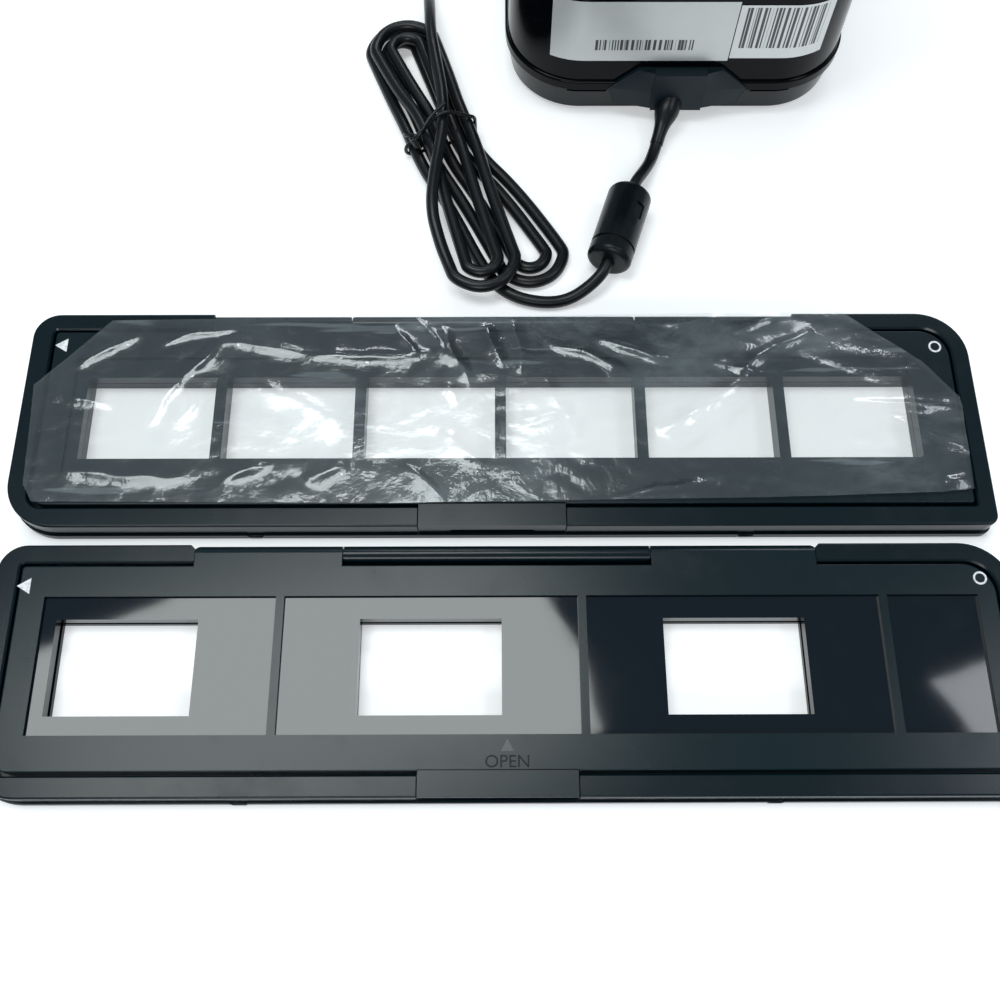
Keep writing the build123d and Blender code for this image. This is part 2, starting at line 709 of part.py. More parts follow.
def from_hank(along, across_it, layer, lift=0.0):
    x = hank_centre[0] + across_it * math.cos(hank_tilt) - along * math.sin(hank_tilt)
    y = hank_centre[1] + across_it * math.sin(hank_tilt) + along * math.cos(hank_tilt)
    return Vector(x, y, floor_level + lift + layer * layer_height)


def ring_of(run):
    # how far from the middle a run lies: the loops spiral in, then out again one layer higher
    return (abs(run - 4) + 1) // 2


def column_of(run):
    # runs that go up lie on the left, runs that come down on the right
    return (-1) ** (run + 1) * column * ring_of(run)


def cap_of(run):
    # the half turn that joins a run to the next one: its middle, radius and layer
    layer = 0 if run < 4 else 1
    centres = top_caps if run % 2 == 0 else bottom_caps
    nest = (ring_of(run) + ring_of(run + 1) - 1) // 2
    return centres[layer], inner_cap + cap_step * nest, layer


def shoulder(run, cap_along, cap_across, layer):
    # halfway between the waist and a cap a run has spread half of the way
    spread = column_of(run) + 0.55 * (cap_across - column_of(run))
    return from_hank(cap_along / 2, spread, layer, tie_lift / 3)


def hank_route():
    route = []
    for run in range(runs):
        side = -1 if run % 2 == 0 else 1
        layer = 0 if run < 4 else 1
        # the middle run climbs a layer
        heights = (0, 0, 0.45, 1) if run == 4 else (layer,) * 4
        if run == 0:
            route.append(shoulder(run, bottom_caps[0][0], link_side, heights[0]))
        else:
            (along, centre), radius, _ = cap_of(run - 1)
            route.append(shoulder(run, along, centre + side * radius, heights[0]))
        route.append(from_hank(side * waist, column_of(run), heights[1], tie_lift))
        route.append(from_hank(-side * waist, column_of(run), heights[2], tie_lift))
        (along, centre), radius, layer = cap_of(run)
        route.append(shoulder(run, along, centre + side * radius, heights[3]))
        # four corners of an octagon make the half turn, between its two ends
        corner = radius / math.cos(math.radians(22.5))
        for angle, reach in ((0, radius), (22.5, corner), (67.5, corner), (112.5, corner), (157.5, corner),
                             (180, radius)):
            turned = math.radians(angle)
            route.append(from_hank(along - side * reach * math.sin(turned),
                                   centre + side * reach * math.cos(turned), layer))
    return route


def biarcs(route):
    # each corner becomes two smooth arcs, from the middle of one side to the middle of the next
    arcs = []
    for before, corner, after in zip(route, route[1:], route[2:]):
        start, end = (before + corner) * 0.5, (corner + after) * 0.5
        way, next_way = (corner - before).normalized(), (after - corner).normalized()
        gap, bend = end - start, 1 - way.dot(next_way)
        along = gap.dot(way + next_way)
        reach = (math.sqrt(along ** 2 + 2 * gap.dot(gap) * bend) - along) / (2 * bend)
        first, second = start + way * reach, end - next_way * reach
        middle = (first + second) * 0.5
        arcs += [(start, way, middle), (middle, (second - first).normalized(), end)]
    return arcs


def tube_along(path):
    with BuildPart() as tube:
        with BuildSketch(Plane(origin=path @ 0, z_dir=path % 0)):
            Circle(cable_radius)
        sweep(path=path)
    return tube


def report_path(label, path, tube, least_radius):
    volume = tube.part.volume / (path.length * math.pi * cable_radius ** 2)
    print(label, "length", round(path.length, 1), "least radius", round(least_radius, 1),
          "volume against section times length", round(volume, 3))


def make_stretch(label, route):
    # each arc is as large as its two runs allow
    radii = []
    for before, corner, after in zip(route, route[1:], route[2:]):
        turn = math.radians((corner - before).get_angle(after - corner))
        radii.append(0.45 * min((corner - before).length, (after - corner).length) / math.tan(turn / 2))
    with BuildLine() as line:
        FilletPolyline(*route, radius=radii)
    path = line.wires()[0]
    tube = tube_along(path)
    print([round(radius, 1) for radius in radii])
    report_path(label, path, tube, min(radii))
    finish(tube, label)
    return path.length


loops = hank_route()
lead_route = [
    relief_end,
    relief_end + relief_way * 4.6,
    Vector(43.4, 36.6, 3.0),
    bead_centre - bead_way * (bead_length / 2 + 4.0),
    bead_centre + bead_way * (bead_length / 2 + 2.6),
    Vector(25.4, -4.6, 4.4),
    Vector(19.0, -7.9, floor_level),
    Vector(11.5, -8.8, floor_level),
    Vector(2.6, -6.4, floor_level),
    Vector(-4.2, 0.0, floor_level),
]
tail_route = [
    from_hank(-38, -13.2, 1.3),
    from_hank(-27, -12.2, 2.0),
    from_hank(-15, -6.4, 2, 1.5),
    from_hank(-2, 0.6, 2, tie_lift),
    from_hank(10, 4.4, 2, tie_lift),
    from_hank(22, 6.6, 2, 0.8),
    from_hank(34, 8.8, 2, 0.8),
    from_hank(45, 12.2, 1.7),
    Vector(-23.2, 106.5, 3.6),
    Vector(-24.4, 117.0, floor_level),
    Vector(-30.5, 127.5, floor_level),
    Vector(-41.5, 133.2, floor_level),
    Vector(-51.5, 134.4, 2.6),
    Vector(-60.0, 133.8, 4.2),
    plug_start,
]
hank_start = (lead_route[-1] + loops[0]) * 0.5
hank_end = (loops[-1] + tail_route[0]) * 0.5

lead_length = make_stretch("usb_cable_lead", lead_route + [hank_start])
tail_length = make_stretch("usb_cable_tail", [hank_end] + tail_route)

with BuildLine() as loop_line:
    for start, way, end in biarcs([lead_route[-1]] + loops + [tail_route[0]]):
        if way.get_angle(end - start) < 0.05:
            Line(start, end)
        else:
            TangentArc(start, end, tangent=way)
loop_path = loop_line.wires()[0]
hank = tube_along(loop_path)
finish(hank, "cable_hank")
samples = [loop_path.position_at(i / 900) for i in range(901)]
apart = int(12 * 900 / loop_path.length)
least_gap = min((samples[i] - samples[j]).length
                for i in range(901) for j in range(i + apart, 901)) - cable_diameter
report_path("cable_hank", loop_path, hank, inner_cap)
print("least gap of the hank to itself", round(least_gap, 2))
print("whole lead", round(lead_length + loop_path.length + tail_length))

# clip-on ferrite bead: a split case round a core, which the lead runs through
bead_plane = Plane(origin=bead_centre, x_dir=(0, 0, 1), z_dir=bead_way)
bead_half = bead_length / 2
with BuildPart() as bead:
    with BuildSketch(bead_plane.offset(-bead_half)):
        Circle(bead_radius)
    extrude(amount=bead_length)
    fillet(bead.edges().filter_by(GeomType.CIRCLE), 1.6)
    with BuildSketch(bead_plane.offset(-bead_half + 1.6)):
        Circle(bead_radius - 1.2)
    extrude(amount=bead_length - 3.2, mode=Mode.SUBTRACT)
    with BuildSketch(bead_plane.offset(-bead_half - 1)):
        Circle(cable_radius + 0.15)
    extrude(amount=bead_length + 2, mode=Mode.SUBTRACT)
    # step of the lower end, the parting line and the catch's window
    with BuildSketch(bead_plane.offset(bead_half - 5.4)):
        Circle(bead_radius + 1)
        Circle(bead_radius - 0.35, mode=Mode.SUBTRACT)
    extrude(amount=0.9, mode=Mode.SUBTRACT)
    with BuildSketch(bead_plane.offset(-bead_half + 3)):
        with Locations((0, bead_radius), (0, -bead_radius)):
            Rectangle(0.5, 0.7)
    extrude(amount=bead_length - 9, mode=Mode.SUBTRACT)
    with BuildSketch(bead_plane.offset(-bead_half + 6)):
        with Locations(Location((0, 0), -42)):
            with Locations((bead_radius, 0)):
                Rectangle(1.0, 3.0)
    extrude(amount=5, mode=Mode.SUBTRACT)
finish(bead, "ferrite_bead")

with BuildPart() as core:
    with BuildSketch(bead_plane.offset(-bead_half + 1.8)):
        Circle(bead_radius - 1.3)
        Circle(cable_radius + 0.3, mode=Mode.SUBTRACT)
    extrude(amount=bead_length - 3.6)
finish(core, "ferrite_core")

# twist tie round the waist
tie_clearance, tie_thickness, tie_width = 0.3, 1.0, 2.4
tie_plane = Plane(origin=(*hank_centre, 0), x_dir=(math.cos(hank_tilt), math.sin(hank_tilt), 0),
                  z_dir=(math.sin(hank_tilt), -math.cos(hank_tilt), 0))
waist_layers = (0, 0, 0, 0, 0.25, 1, 1, 1)
waist_places = [(column_of(run), floor_level + tie_lift + layer * layer_height)
                for run, layer in enumerate(waist_layers)]
# the last run crosses the others under the tie
waist_places += [(across_it, floor_level + tie_lift + 2 * layer_height + 0.1) for across_it in (0.6, 2.2)]


def tie_outline(margin):
    with BuildSketch(tie_plane.offset(-tie_width / 2)) as outline:
        with Locations(*waist_places):
            Circle(cable_radius + margin)
        make_hull()
    return outline.sketch


with BuildPart() as tie:
    extrude(tie_outline(tie_clearance + tie_thickness), amount=tie_width)
    extrude(tie_outline(tie_clearance), amount=tie_width, mode=Mode.SUBTRACT)
    # the twisted ends stand out on the left
    with BuildSketch(tie_plane.offset(-1.2)):
        with Locations((-13.2, 4.6)):
            RectangleRounded(5.0, 2.2, 0.8)
    extrude(amount=2.4)
finish(tie, "cable_tie")

# plug at the far end
plug_plane = Plane(origin=plug_start, x_dir=(0, 1, 0), z_dir=plug_way)
grip_length, grip_width, grip_height = 26.0, 15.6, 8.2
sleeve_length = 9.0
metal_length, metal_width, metal_height, metal_wall = 14.0, 12.0, 4.5, 0.35
with BuildPart() as grip:
    with BuildSketch(plug_plane) as sleeve_start:
        Circle(2.5)
    with BuildSketch(plug_plane.offset(sleeve_length)) as sleeve_end:
        Circle(3.3)
    loft([sleeve_start.sketch, sleeve_end.sketch])
    for step in range(3):
        with BuildSketch(plug_plane.offset(2.2 + 2.2 * step)):
            Rectangle(8, 8)
            Circle(2.3, mode=Mode.SUBTRACT)
            Rectangle(1.4, 8, mode=Mode.SUBTRACT)
        extrude(amount=0.9, mode=Mode.SUBTRACT)
    with BuildSketch(plug_plane.offset(sleeve_length)):
        RectangleRounded(grip_width, grip_height, 1.6)
    extrude(amount=grip_length)
    fillet(grip.faces().sort_by(Axis.X)[0].edges(), 0.6)
    for step in range(4):
        with BuildSketch(plug_plane.offset(sleeve_length + 6 + 2.4 * step)):
            with Locations((grip_width / 2, 0), (-grip_width / 2, 0)):
                Rectangle(0.9, grip_height - 3)
        extrude(amount=1.2, mode=Mode.SUBTRACT)
finish(grip, "usb_plug_grip")

metal_plane = plug_plane.offset(sleeve_length + grip_length)
with BuildPart() as metal:
    with BuildSketch(metal_plane):
        RectangleRounded(metal_width, metal_height, 0.5)
        Rectangle(metal_width - 2 * metal_wall, metal_height - 2 * metal_wall, mode=Mode.SUBTRACT)
    extrude(amount=metal_length)
    with BuildSketch(Plane(origin=plug_start + plug_way * (sleeve_length + grip_length + 6.2))):
        with Locations((0, 2.7), (0, -2.7)):
            Rectangle(2.2, 2.2)
    extrude(amount=5, both=True, mode=Mode.SUBTRACT)
finish(metal, "usb_plug_shell")

with BuildPart() as tongue:
    with BuildSketch(metal_plane):
        Rectangle(metal_width - 2 * metal_wall - 0.1, 3.6)
    extrude(amount=2.4)
    with BuildSketch(metal_plane):
        with Locations((0, 0.85)):
            Rectangle(metal_width - 2 * metal_wall - 0.1, 1.9)
    extrude(amount=metal_length - 0.6)
finish(tongue, "usb_plug_tongue")
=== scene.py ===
import bpy
import bmesh
import math
from mathutils import Matrix, Vector, noise


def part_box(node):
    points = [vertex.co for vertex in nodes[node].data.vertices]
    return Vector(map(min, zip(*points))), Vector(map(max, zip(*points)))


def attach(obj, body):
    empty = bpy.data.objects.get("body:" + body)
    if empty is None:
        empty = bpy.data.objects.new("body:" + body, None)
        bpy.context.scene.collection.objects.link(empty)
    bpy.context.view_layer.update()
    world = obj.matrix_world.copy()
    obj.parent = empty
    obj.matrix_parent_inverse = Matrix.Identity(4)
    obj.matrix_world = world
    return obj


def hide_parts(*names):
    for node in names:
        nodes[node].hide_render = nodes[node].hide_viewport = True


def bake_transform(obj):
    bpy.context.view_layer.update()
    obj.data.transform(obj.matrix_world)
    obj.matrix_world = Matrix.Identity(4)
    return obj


print("loading the frame")
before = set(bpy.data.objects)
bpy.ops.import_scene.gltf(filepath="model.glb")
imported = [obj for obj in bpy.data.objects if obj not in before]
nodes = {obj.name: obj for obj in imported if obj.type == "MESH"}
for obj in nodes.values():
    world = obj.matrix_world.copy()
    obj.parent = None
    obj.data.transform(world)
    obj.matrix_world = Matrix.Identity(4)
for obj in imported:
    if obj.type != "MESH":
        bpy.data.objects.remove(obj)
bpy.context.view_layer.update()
mm = 0.001
smoothAngle = math.radians(40)

# places in the frame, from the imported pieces
negativeLow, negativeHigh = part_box("negative_tray")
slideLow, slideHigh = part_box("slide_tray")
negativeMiddle = (negativeLow + negativeHigh) / 2
slideMiddle = (slideLow + slideHigh) / 2
holderTop = negativeHigh.z
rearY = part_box("rear_shell")[0].y


# camera and lamps
print("setting up the camera and the lamps")
cameraSetup = {
    "place": (-0.00233, -0.17772, 0.2723),
    "lookDown": 1.190509,  # radians below level
    "turn": -0.01375,
    "tilt": 0.01034,
    "lens": 39.33,
    "sensorWidth": 36.0,
    "nearest": 0.01,
}

light = {
    "skyColor": (0.72, 0.88, 1.0),
    "skyStrength": 0.34,
    "floorColor": (0.86, 0.87, 0.88),
    "floorGlow": 0.34,
    "floorSize": 6.0,
    # name, place, aim, turn about its own axis in degrees, width, length, watts, color
    "softBoxes": [
        ("leftBox", (-0.235, 0.074, 1.0), (-0.22, 0.054, 0.0), -14.0, 0.64, 0.345, 5.2,
         (0.95, 1.0, 0.98)),
        ("rightBox", (0.70, -0.07, 1.0), (0.42, -0.05, 0.0), 24.0, 0.44, 0.20, 1.8,
         (0.93, 0.96, 1.0)),
        ("backBox", (0.25, 1.0, 1.0), (0.05, 0.0, 0.0), 0.0, 0.9, 0.20, 5.0,
         (0.97, 0.99, 1.0)),
        ("frontBox", (-0.15, -1.1, 0.75), (-0.05, -0.05, 0.0), 0.0, 0.7, 0.35, 5.5,
         (1.0, 0.99, 0.97)),
    ],
}


def link(name, data):
    item = bpy.data.objects.new(name, data)
    bpy.context.scene.collection.objects.link(item)
    return item


def makeCamera(setup):
    data = bpy.data.cameras.new("photoCamera")
    data.lens = setup["lens"]
    data.sensor_width = setup["sensorWidth"]
    data.clip_start = setup["nearest"]
    camera = link("photoCamera", data)
    camera.location = setup["place"]
    turned = (Matrix.Rotation(setup["turn"], 3, "Z")
              @ Matrix.Rotation(math.pi / 2 - setup["lookDown"], 3, "X")
              @ Matrix.Rotation(setup["tilt"], 3, "Z"))
    camera.rotation_euler = turned.to_euler()
    bpy.context.scene.camera = camera


def aimAt(item, target, turn):
    aim = (Vector(target) - item.location).to_track_quat("-Z", "Y").to_matrix()
    item.rotation_euler = (aim @ Matrix.Rotation(math.radians(turn), 3, "Z")).to_euler()


def makeLamps(setup):
    for name, place, target, turn, width, length, watts, color in setup["softBoxes"]:
        data = bpy.data.lights.new(name, "AREA")
        data.shape = "RECTANGLE"
        data.size = width
        data.size_y = length
        data.energy = watts
        data.color = color
        lamp = link(name, data)
        lamp.location = place
        aimAt(lamp, target, turn)


makeCamera(cameraSetup)
makeLamps(light)


# shader maths
class Wire:
    # one output of a node, with the signs of arithmetic
    def __init__(self, finish, output):
        self.finish = finish
        self.output = output

    def __add__(self, other):
        return self.finish.maths("ADD", self, other)

    def __radd__(self, other):
        return self.finish.maths("ADD", other, self)

    def __sub__(self, other):
        return self.finish.maths("SUBTRACT", self, other)

    def __rsub__(self, other):
        return self.finish.maths("SUBTRACT", other, self)

    def __mul__(self, other):
        return self.finish.maths("MULTIPLY", self, other)

    def __rmul__(self, other):
        return self.finish.maths("MULTIPLY", other, self)


class Finish:
    # the nodes of one material, or of the world when its tree is given
    def __init__(self, name, tree=None):
        if tree is None:
            self.material = bpy.data.materials.new(name)
            self.material.use_nodes = True
            tree = self.material.node_tree
        self.tree = tree
        self.tree.nodes.clear()

    def put(self, kind, settings=None, inputs=None, output=0):
        # settings go on the node first, then the values or wires of its sockets
        made = self.tree.nodes.new(kind)
        for key, value in (settings or {}).items():
            setattr(made, key, value)
        for key, value in (inputs or {}).items():
            socket = made.inputs[key]
            if isinstance(value, Wire):
                self.tree.links.new(value.output, socket)
            else:
                socket.default_value = value
        return Wire(self, made.outputs[output]) if made.outputs else None

    def maths(self, operation, first, second):
        return self.put("ShaderNodeMath", {"operation": operation}, {0: first, 1: second})

    def between(self, value, low, high, lowOut=0.0, highOut=1.0):
        return self.put("ShaderNodeMapRange", {"interpolation_type": "SMOOTHSTEP"},
                        {0: value, 1: low, 2: high, 3: lowOut, 4: highOut})

    def blendColors(self, factor, first, second):
        return self.put("ShaderNodeMix", {"data_type": "RGBA"}, {0: factor, 6: first, 7: second}, 2)

    def blendShaders(self, factor, first, second):
        return self.put("ShaderNodeMixShader", {}, {0: factor, 1: first, 2: second})

    def spot(self):
        return self.put("ShaderNodeTexCoord", output="Object")

    def part(self, axis):
        # x, y or z of the place on the piece, as 0, 1 or 2
        return self.put("ShaderNodeSeparateXYZ", {}, {0: self.spot()}, axis)

    def place(self, scale=(1, 1, 1), turn=(0, 0, 0)):
        return self.put("ShaderNodeMapping", {},
                        {"Vector": self.spot(), "Scale": scale, "Rotation": turn})

    def grain(self, scale, detail=2.0, rough=0.5, where=None):
        return self.put("ShaderNodeTexNoise", {}, {"Vector": where or self.place(), "Scale": scale,
                                                   "Detail": detail, "Roughness": rough})

    def bump(self, height, strength, distance=0.0001):
        return self.put("ShaderNodeBump", {},
                        {"Height": height, "Strength": strength, "Distance": distance})

    def principled(self, **sockets):
        inputs = {key.replace("_", " "): value for key, value in sockets.items()}
        return self.put("ShaderNodeBsdfPrincipled", {}, inputs)

    def done(self, shader):
        self.put("ShaderNodeOutputMaterial", {}, {"Surface": shader})
        return self.material


def rgb(red, green, blue):
    return (red, green, blue, 1.0)


def shade(color, share):
    return rgb(*(value * share for value in color))


# world and floor, which the camera sees white
print("laying the floor")


def makeWorld(setup):
    world = bpy.data.worlds.new("studio")
    bpy.context.scene.world = world
    world.use_nodes = True
    sky = Finish("studio", world.node_tree)
    camera = sky.put("ShaderNodeLightPath", output="Is Camera Ray")
    strength = sky.between(camera, 0.0, 1.0, setup["skyStrength"], 1.0)
    color = sky.blendColors(camera, rgb(*setup["skyColor"]), rgb(1, 1, 1))
    back = sky.put("ShaderNodeBackground", {}, {"Color": color, "Strength": strength})
    sky.put("ShaderNodeOutputWorld", {}, {"Surface": back})


def makeFloor(setup):
    bpy.ops.object.select_all(action="DESELECT")
    bpy.ops.mesh.primitive_plane_add(size=setup["floorSize"], location=(0, 0, 0))
    floor = bpy.context.object
    floor.name = "floor"
    paper = Finish("floorPaper")
    camera = paper.put("ShaderNodeLightPath", output="Is Camera Ray")
    glossy = paper.put("ShaderNodeLightPath", output="Is Glossy Ray")
    through = paper.put("ShaderNodeLightPath", output="Is Transmission Ray")
    seen = paper.maths("MAXIMUM", camera, glossy + through)
    matt = paper.put("ShaderNodeBsdfDiffuse", {}, {"Color": rgb(*setup["floorColor"])})
    glow = paper.put("ShaderNodeEmission", {},
                     {"Color": rgb(1, 1, 1), "Strength": seen * setup["floorGlow"]})
    both = paper.put("ShaderNodeAddShader", {}, {0: matt, 1: glow})
    floor.data.materials.append(paper.done(both))


makeWorld(light)
makeFloor(light)


# the lead, from the tower through the hank towards the plug
print("laying the lead")
lead = {
    "diameter": 3.6,
    "length": 1110.0,
    "clearance": 0.05,  # under the lowest layer
    "exit": (47.270, 46.409, 3.546),
    "fromRelief": [
        (47.270, 46.409, 3.546), (45.879, 42.236, 2.201), (43.2, 36.4, 3.9),
        (39.314, 29.554, 6.5), (36.9, 22.06, 6.5), (31.95, 6.72, 6.5), (29.616, -0.521, 6.5),
        (25.4, -4.6, 4.4), (19.0, -7.9, 1.85), (11.5, -8.8, 1.85), (2.6, -6.4, 1.85),
        (-4.2, 0.0, 1.85),
    ],
    "towardPlug": [
        (-23.2, 106.5, 3.6), (-24.4, 117.0, 1.85), (-30.5, 127.5, 1.85), (-41.5, 133.2, 1.85),
        (-51.5, 134.4, 2.6), (-60.0, 133.8, 4.2), (-67.0, 133.8, 4.25),
    ],
}

hank = {
    "centre": (-18.45, 48.15),
    "tilt": math.radians(20.0),
    "column": 4.3,
    "layerHeight": 4.2,
    "tieLift": 1.6,
    "runs": 8,  # four in each of two layers
    "climb": (0, 0, 0.45, 1),  # layers along the run that goes up
    "innerCap": 4.7,
    "capStep": 4.8,
    "capCorners": (22.5, 67.5, 112.5, 157.5),  # degrees round each end
    "topCaps": ((37.6, 0.0), (34.8, 1.0)),
    "bottomCaps": ((-47.0, 11.2), (-46.0, -3.5)),
    "linkSide": -2.6,
    "waist": 8.0,
    "shoulder": 0.55,  # how far a run has spread half way to its end
    "crossing": [  # along, across, layer, lift
        (-38, -13.2, 1.3, 0), (-27, -12.2, 2.0, 0), (-15, -6.4, 2, 1.5), (-2, 0.6, 2, 1.6),
        (10, 4.4, 2, 1.6), (22, 6.6, 2, 0.8), (34, 8.8, 2, 0.8), (45, 12.2, 1.7, 0),
    ],
}


def fromHank(along, across, layer, lift=0.0):
    sine, cosine = math.sin(hank["tilt"]), math.cos(hank["tilt"])
    return (hank["centre"][0] + across * cosine - along * sine,
            hank["centre"][1] + across * sine + along * cosine,
            lead["diameter"] / 2 + lead["clearance"] + lift + layer * hank["layerHeight"])


def layerOf(run):
    return 0 if run < hank["runs"] // 2 else 1


def ringOf(run):
    # how far out the run lies, from 0 in the middle
    return (abs(run - hank["runs"] // 2) + 1) // 2


def columnOf(run):
    return (-1) ** (run + 1) * hank["column"] * ringOf(run)


def capOf(run):
    # middle and radius of the turn at the end of a run
    centres = hank["topCaps"] if run % 2 == 0 else hank["bottomCaps"]
    nest = (ringOf(run) + ringOf(run + 1) - 1) // 2
    return centres[layerOf(run)], hank["innerCap"] + hank["capStep"] * nest


def shoulder(run, capAlong, capAcross, layer):
    spread = columnOf(run) + hank["shoulder"] * (capAcross - columnOf(run))
    return fromHank(capAlong / 2, spread, layer, hank["tieLift"] / 3)


def capRoute(run, side):
    (along, centre), radius = capOf(run)
    corner = radius / math.cos(math.radians(hank["capCorners"][0]))
    turns = [(0, radius), *((angle, corner) for angle in hank["capCorners"]), (180, radius)]
    for angle, reach in turns:
        turned = math.radians(angle)
        yield fromHank(along - side * reach * math.sin(turned),
                       centre + side * reach * math.cos(turned), layerOf(run))


def hankRoute():
    route = []
    for run in range(hank["runs"]):
        side = -1 if run % 2 == 0 else 1
        heights = hank["climb"] if run == hank["runs"] // 2 else (layerOf(run),) * 4
        if run == 0:
            route.append(shoulder(run, hank["bottomCaps"][0][0], hank["linkSide"], heights[0]))
        else:
            (along, centre), radius = capOf(run - 1)
            route.append(shoulder(run, along, centre + side * radius, heights[0]))
        for way, height in ((side, heights[1]), (-side, heights[2])):
            route.append(fromHank(way * hank["waist"], columnOf(run), height, hank["tieLift"]))
        (along, centre), radius = capOf(run)
        route.append(shoulder(run, along, centre + side * radius, heights[3]))
        route.extend(capRoute(run, side))
    return route


def roundCurve(name, route, radius, steps, facets, closed=False):
    data = bpy.data.curves.new(name, "CURVE")
    data.dimensions = "3D"
    spline = data.splines.new("NURBS")
    spline.points.add(len(route) - 1)
    for point, spot in zip(spline.points, route):
        point.co = (*(value * mm for value in spot), 1.0)
    spline.use_endpoint_u = not closed
    spline.use_cyclic_u = closed
    spline.order_u = 3
    data.resolution_u = steps
    data.bevel_depth = radius * mm
    data.bevel_resolution = facets
    data.use_fill_caps = True
    return link(name, data)


def makeLead():
    crossing = [fromHank(*spot) for spot in hank["crossing"]]
    route = lead["fromRelief"] + hankRoute() + crossing + lead["towardPlug"]
    return roundCurve("usbCable", route, lead["diameter"] / 2, steps=6, facets=4)


def cableRubber():
    look = Finish("cableRubber")
    fine = look.grain(900.0)
    broad = look.grain(60.0)
    color = look.blendColors(broad, rgb(0.003, 0.004, 0.005), rgb(0.006, 0.007, 0.009))
    return look.done(look.principled(Base_Color=color, Roughness=0.27 + broad * 0.12,
                                     Normal=look.bump(fine, 0.10), Specular_IOR_Level=0.28))


rubber = cableRubber()
cable = makeLead()
cable.data.materials.append(rubber)
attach(cable, "scanner")
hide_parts("usb_cable_lead", "cable_hank", "usb_cable_tail")


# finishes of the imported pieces
print("mixing the finishes")
plastics = {  # color, roughness, and what differs from a plain moulding
    "glossShell": ((0.0015, 0.002, 0.003), 0.09, {"wear": 0.9, "sheen": 0.10}),
    "baseGloss": ((0.003, 0.005, 0.008), 0.20, {"texture": 0.03, "wear": 0.6, "sheen": 0.22}),
    "holderSatin": ((0.001, 0.008, 0.012), 0.21, {"texture": 0.06, "wear": 0.35, "sheen": 0.27}),
    "coverSatin": ((0.001, 0.009, 0.013), 0.23, {"texture": 0.05, "wear": 0.3, "sheen": 0.30}),
    "innerBlack": ((0.012, 0.012, 0.014), 0.55, {"texture": 0.12}),
    "glandSatin": ((0.004, 0.011, 0.016), 0.42, {"texture": 0.10, "sheen": 0.22}),
    "beadPlastic": ((0.003, 0.005, 0.007), 0.22, {"wear": 0.8, "sheen": 0.25}),
    "footRubber": ((0.02, 0.02, 0.02), 0.75, {"texture": 0.2}),
    "tieSatin": ((0.004, 0.005, 0.006), 0.24, {"texture": 0.08, "sheen": 0.35}),
    "chipBlack": ((0.02, 0.02, 0.022), 0.5, {"texture": 0.1}),
    "nylonWhite": ((0.72, 0.72, 0.68), 0.45, {}),
    "ferrite": ((0.05, 0.05, 0.055), 0.6, {"texture": 0.3, "textureScale": 1200.0}),
    "sensorGlass": ((0.05, 0.03, 0.08), 0.05, {}),
    "mouldedLetters": ((0.001, 0.006, 0.009), 0.32, {"sheen": 0.15}),
    "mouldedArrow": ((0.030, 0.036, 0.037), 0.30, {}),
}

metals = {  # color, roughness, depth of the brushing
    "anodised": ((0.05, 0.05, 0.055), 0.35, 0.05),
    "zinc": ((0.62, 0.62, 0.64), 0.25, 0.05),
    "chrome": ((0.80, 0.80, 0.82), 0.08, 0.05),
    "nickel": ((0.74, 0.74, 0.75), 0.18, 0.10),
    "springSteel": ((0.6, 0.6, 0.62), 0.2, 0.05),
}

glasses = {  # color, alpha
    "lensGlass": ((0.75, 0.8, 0.95), 0.35),
    "clearPlastic": ((0.9, 0.92, 0.94), 0.45),
}

finishOf = {
    "glossShell": ["rear_shell", "front_shell", "top_cap", "scan_button"],
    "baseGloss": ["base_tray"],
    "holderSatin": ["negative_tray", "slide_tray"],
    "coverSatin": ["negative_cover"],
    "slideCoverFinish": ["slide_cover"],
    "innerBlack": ["light_box", "lower_guide", "upper_guide", "optics_tunnel", "lens_holder"],
    "glandSatin": ["cable_gland"],
    "cableRubber": ["strain_relief", "usb_plug_grip"],
    "beadPlastic": ["ferrite_bead"],
    "footRubber": ["rubber_feet"],
    "tieSatin": ["cable_tie"],
    "chipBlack": ["board_chips", "tact_switch", "switch_plunger"],
    "nylonWhite": ["cable_header", "usb_plug_tongue"],
    "ferrite": ["ferrite_core"],
    "anodised": ["lens_barrel"],
    "zinc": ["case_screws", "frame_screws", "button_board_screws", "sensor_board_screws"],
    "chrome": ["button_ring"],
    "nickel": ["usb_plug_shell"],
    "springSteel": ["click_spring"],
    "lampWhite": ["backlight_leds", "status_led", "diffuser"],
    "lensGlass": ["lens_glass"],
    "clearPlastic": ["light_pipe"],
    "sensorGlass": ["image_sensor"],
    "boardGreen": ["main_board", "button_board", "light_board", "sensor_board"],
}


def plastic(name, color, gloss, texture=0.0, textureScale=2500.0, sheen=0.5, wear=0.25):
    # moulded plastic: slight change of tone, handling marks and perhaps a fine spark texture
    look = Finish(name)
    cloud = look.grain(18.0, 3.0)
    smudge = look.between(look.grain(55.0, 4.0, 0.62), 0.45, 0.75)
    tone = look.blendColors(cloud, shade(color, 0.82), rgb(*color))
    sockets = {"Base_Color": tone, "Specular_IOR_Level": sheen,
               "Roughness": gloss + smudge * (gloss * wear) + cloud * 0.02}
    if texture:
        sockets["Normal"] = look.bump(look.grain(textureScale, 2.0, 0.6), texture)
    return look.done(look.principled(**sockets))


def metal(name, color, gloss, depth):
    look = Finish(name)
    brushed = look.grain(90.0, 3.0, where=look.place(scale=(1, 1, 14)))
    tone = look.blendColors(brushed, shade(color, 0.85), rgb(*color))
    return look.done(look.principled(Base_Color=tone, Metallic=1.0, Normal=look.bump(brushed, depth),
                                     Roughness=gloss + brushed * 0.08))


def clearGlass(name, color, alpha):
    look = Finish(name)
    haze = look.grain(40.0)
    return look.done(look.principled(Base_Color=rgb(*color), Roughness=0.03 + haze * 0.03,
                                     Alpha=alpha, Coat_Weight=0.6))


